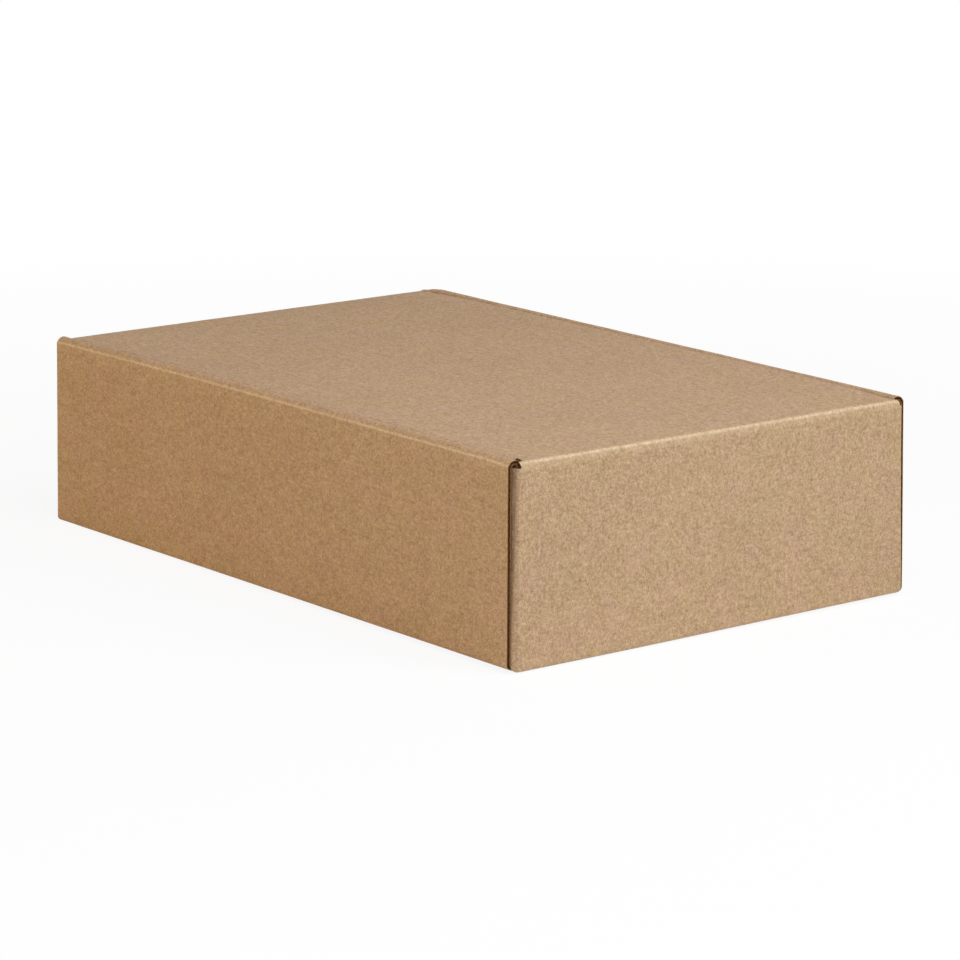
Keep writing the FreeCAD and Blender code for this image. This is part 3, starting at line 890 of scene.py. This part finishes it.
def taper_lugs(sheet, plan, start, stop):
    """Cut the board beside the hinge crease obliquely, from the crease to the ears' slits."""
    for side in (-1, 1):
        lug = faces_where(sheet, lambda spot: (
            start < spot.x < stop and plan.ear_fold < spot.y * side < plan.crease_half
        ))
        root = (start, side * plan.lug_root, 0)
        slice_faces(sheet, lug, root, (plan.lug_taper, side, 0), trim=True)


class BOX_OT_hinge(bpy.types.Operator):
    """Make the crease strip that bends between the hinge wall and the lid"""

    bl_idname = "box.hinge"
    bl_label = "Hinge crease"

    def execute(self, context):
        plan, wear, _ = settings()
        sizes = plan.sizes
        crease = quarter(sizes.bend)
        crease_end = sizes.hinge_margin + crease
        x_lines = in_order(
            steps(0, sizes.hinge_margin, 3)
            + steps(sizes.hinge_margin, crease_end, 12)
            + [plan.wide_until]
            + steps(crease_end, plan.hinge_length, 3)
        )
        lines = both_signs(cross_lines(plan))
        y_lines = [place for place in lines if abs(place) < plan.crease_half + TOUCH]
        sheet = cut_sheet(
            x_lines, y_lines,
            lambda centre: abs(centre.y) < plan.lid_half or centre.x < plan.wide_until,
        )
        taper_lugs(sheet, plan, plan.wide_until, plan.hinge_length)
        # Pale lines along the hinge crease, partly wear and partly painted highlight; the weaker
        # one on the wall side paints the highlight's slow fade.
        ridges = [
            (0, sizes.hinge_margin + crease / 2, 1.0, wear.worn_and_highlight_width),
            (0, sizes.hinge_margin - mm(0.4), 0.4, wear.worn_and_highlight_width),
        ]
        start = plan.flat_seam
        strip = make_liners("hinge_crease_liners", sheet, fold_hinge, plan, wear, ridges, start)
        spot = (0, plan.wide_until, -plan.crease_half, plan.crease_half, 14)
        waves = flat_waves([spot], sizes)
        fluting = make_fluting("hinge_crease_fluting", waves, fold_hinge, plan, wear, start)
        for piece in (strip, fluting):
            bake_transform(piece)
        return {"FINISHED"}


def in_lid(centre, plan):
    """True where the lid's flat sheet has board."""
    x, y = centre.x, abs(centre.y)
    if x > plan.lid_flat:
        return y < plan.tuck_half
    if plan.ear_start < x < plan.ear_stop:
        return y < plan.ear_tip
    slit = plan.sizes.ear_slit
    in_slit = plan.ear_start - slit < x < plan.ear_stop + slit
    return y < (plan.ear_fold if in_slit else plan.lid_half)


def trim_lid(sheet, plan):
    """Round the free corners of the ears and of the tuck flap."""
    for side in (-1, 1):
        tip = side * plan.ear_tip
        round_corner(sheet, (plan.ear_start, tip), (1, -side), plan.sizes.ear_corner, 12)
        round_corner(sheet, (plan.ear_stop, tip), (-1, -side), plan.sizes.ear_corner, 12)
        tuck = (plan.tuck_tip, side * plan.tuck_half)
        round_corner(sheet, tuck, (-1, -side), plan.sizes.tuck_corner, 10)


def lid_flutes(plan):
    """Flat rectangles of the lid where fluting shows at a cut edge."""
    slit = plan.sizes.ear_slit
    deep = plan.sizes.ribbon
    yield (plan.lid_flat, plan.tuck_tip, -plan.tuck_half, plan.tuck_half, 12)
    for side in (-1, 1):
        ear = span(plan.ear_fold, plan.ear_tip, side)
        lug = span(plan.lid_half - deep, plan.lid_half, side)
        yield (plan.ear_start, plan.ear_stop, *ear, 10)
        yield (0, plan.ear_start - slit, *lug, 2)
        yield (plan.ear_stop + slit, plan.lid_flat, *lug, 3)


class BOX_OT_lid(bpy.types.Operator):
    """Cut, crease and fold the lid with its ears and its tuck flap"""

    bl_idname = "box.lid"
    bl_label = "Lid"

    def execute(self, context):
        plan, wear, _ = settings()
        sizes = plan.sizes
        slit = sizes.ear_slit
        first, last = plan.ear_start + sizes.ear_corner, plan.ear_stop - sizes.ear_corner
        ear_low, tuck_low = plan.ear_tip - sizes.ear_corner, plan.tuck_tip - sizes.tuck_corner
        x_lines = in_order(
            [0, plan.ear_start - slit, plan.ear_stop + slit]
            + [plan.lid_flat - HOLD, plan.tuck_root + HOLD]
            + steps(plan.ear_start, first, 3)
            + steps(first, last, 24)
            + steps(last, plan.ear_stop, 3)
            + steps(plan.lid_flat, plan.tuck_root, 7)
            + steps(plan.tuck_root, tuck_low, 3)
            + steps(tuck_low, plan.tuck_tip, 3)
        )
        y_lines = both_signs(
            [place for place in cross_lines(plan) if place <= plan.lid_half]
            + [plan.tuck_half - sizes.tuck_corner]
            + steps(plan.ear_fold, plan.ear_root, 6)
            + steps(plan.ear_root, ear_low, 3)
            + steps(ear_low, plan.ear_tip, 3)
        )
        sheet = cut_sheet(x_lines, y_lines, lambda centre: in_lid(centre, plan))
        trim_lid(sheet, plan)
        taper_lugs(sheet, plan, plan.lug_start, plan.ear_start - slit / 2)
        start = plan.flat_seam + plan.hinge_length
        liners = make_liners("lid_liners", sheet, fold_lid, plan, wear, (), start)
        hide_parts("lid")
        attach(liners, "lid")
        waves = flat_waves(lid_flutes(plan), sizes)
        trim_lid(waves, plan)
        taper_lugs(waves, plan, plan.lug_start, plan.ear_start - slit / 2)
        fluting = make_fluting("lid_fluting", waves, fold_lid, plan, wear, start)
        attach(fluting, "lid")
        return {"FINISHED"}


def add_lamp(name, place, aim, size, power, tint):
    """A soft square lamp that looks at a point."""
    lamp = bpy.data.lights.new(name, "AREA")
    lamp.shape = "SQUARE"
    lamp.size = size
    lamp.energy = power
    lamp.color = tint[:3]
    holder = put_in_scene(name, lamp)
    holder.location = place
    holder.rotation_euler = (Vector(place) - Vector(aim)).to_track_quat("Z", "Y").to_euler()


def seen_straight(tree):
    """1 where the camera, a mirror or clear glass looks at the stage, else 0."""
    path = add_node(tree, "ShaderNodeLightPath")
    direct = maths(tree, "MAXIMUM", path.outputs["Is Camera Ray"], path.outputs["Is Glossy Ray"])
    return maths(tree, "MAXIMUM", direct, path.outputs["Is Transmission Ray"])


class BOX_OT_stage(bpy.types.Operator):
    """Add the pale floor, the lamps, the room's light and the camera"""

    bl_idname = "box.stage"
    bl_label = "Stage"

    def execute(self, context):
        looks = context.scene.box_looks
        self.add_floor(looks)
        self.add_room(looks)
        middle = (0, 0, TRAY_HIGH.z / 2)
        for name, place, size, power, tint in (
            ("key_lamp", (1.45, 0.95, 1.0), 0.9, looks.key_light, looks.key_tint),
            ("top_lamp", (0.5, -0.15, 0.95), 0.8, looks.top_light, looks.top_tint),
            ("side_lamp", (-0.55, -1.45, 0.25), 0.9, looks.side_light, looks.side_tint),
        ):
            add_lamp(name, place, middle, size, power, tint)
        self.add_camera()
        return {"FINISHED"}

    def add_floor(self, looks):
        """A wide pale floor. Seen straight, it is nearly white and keeps a faint shadow."""
        floor = flat_grid(-9, 9, -9, 9)
        bmesh.ops.translate(floor, vec=(0, 0, mm(-0.2)), verts=floor.verts)
        mesh = bpy.data.meshes.new("studio_floor")
        floor.to_mesh(mesh)
        floor.free()
        material = bpy.data.materials.new("studio_floor_paper")
        tree = empty_tree(material)
        paper = add_node(tree, "ShaderNodeBsdfDiffuse", {"Color": tuple(looks.floor)})
        white = add_node(tree, "ShaderNodeEmission", {"Color": (1, 1, 1, 1), "Strength": 1.0})
        place = add_node(tree, "ShaderNodeTexCoord").outputs["Object"]
        away = add_node(tree, "ShaderNodeVectorMath", {0: place}, operation="LENGTH")
        glow = add_node(
            tree, "ShaderNodeMapRange",
            {"Value": away.outputs["Value"], "From Min": 0.25, "From Max": 0.8, "To Min": 0.9},
        )
        share = maths(tree, "MULTIPLY", seen_straight(tree), glow.outputs["Result"])
        mixed = add_node(
            tree, "ShaderNodeMixShader",
            {0: share, 1: paper.outputs["BSDF"], 2: white.outputs["Emission"]},
        )
        add_node(tree, "ShaderNodeOutputMaterial", {"Surface": mixed.outputs["Shader"]})
        mesh.materials.append(material)
        put_in_scene("studio_floor", mesh)

    def add_room(self, looks):
        """Even light from all round, in front of a white background."""
        world = bpy.data.worlds.new("studio_room")
        tree = empty_tree(world)
        room, white = (
            add_node(tree, "ShaderNodeBackground", {"Color": (1, 1, 1, 1), "Strength": strength})
            for strength in (looks.room_light, 1.0)
        )
        mixed = add_node(
            tree, "ShaderNodeMixShader",
            {0: seen_straight(tree), 1: room.outputs["Background"], 2: white.outputs["Background"]},
        )
        add_node(tree, "ShaderNodeOutputWorld", {"Surface": mixed.outputs["Shader"]})
        bpy.context.scene.world = world

    def add_camera(self):
        """A long lens, at the photograph's viewing angle."""
        camera = bpy.data.cameras.new("camera")
        camera.sensor_width = 36.0
        camera.lens = 151.857
        camera.clip_end = 50.0
        holder = put_in_scene("camera", camera)
        holder.location = (1.2764, -0.9761, 0.3938)
        yaw, pitch = math.radians(37.633), math.radians(12.712)
        forward = Vector((
            -math.cos(yaw) * math.cos(pitch), math.sin(yaw) * math.cos(pitch), -math.sin(pitch)
        ))
        holder.rotation_euler = forward.to_track_quat("-Z", "Y").to_euler()
        bpy.context.scene.camera = holder


class BOX_PT_panel(bpy.types.Panel):
    """The box's sizes, wear and colours, and the steps that make it"""

    bl_idname = "BOX_PT_panel"
    bl_label = "Mailing box"
    bl_space_type = "VIEW_3D"
    bl_region_type = "UI"
    bl_category = "Box"

    def draw(self, context):
        layout = self.layout
        for operator in OPERATORS:
            layout.operator(operator.bl_idname)
        for group in (context.scene.box_sizes, context.scene.box_wear, context.scene.box_looks):
            box = layout.box()
            for word in group.__annotations__:
                box.prop(group, word)


OPERATORS = (BOX_OT_tray, BOX_OT_hinge, BOX_OT_lid, BOX_OT_stage)
CLASSES = (BoardSizes, Wear, Looks, *OPERATORS, BOX_PT_panel)


def register():
    for item in CLASSES:
        bpy.utils.register_class(item)
    bpy.types.Scene.box_sizes = PointerProperty(type=BoardSizes)
    bpy.types.Scene.box_wear = PointerProperty(type=Wear)
    bpy.types.Scene.box_looks = PointerProperty(type=Looks)


def unregister():
    del bpy.types.Scene.box_looks
    del bpy.types.Scene.box_wear
    del bpy.types.Scene.box_sizes
    for item in reversed(CLASSES):
        bpy.utils.unregister_class(item)


def main():
    register()
    bpy.context.scene.view_settings.view_transform = "Standard"
    bpy.ops.box.tray()
    bpy.ops.box.hinge()
    bpy.ops.box.lid()
    bpy.ops.box.stage()


if __name__ == "__main__":
    main()
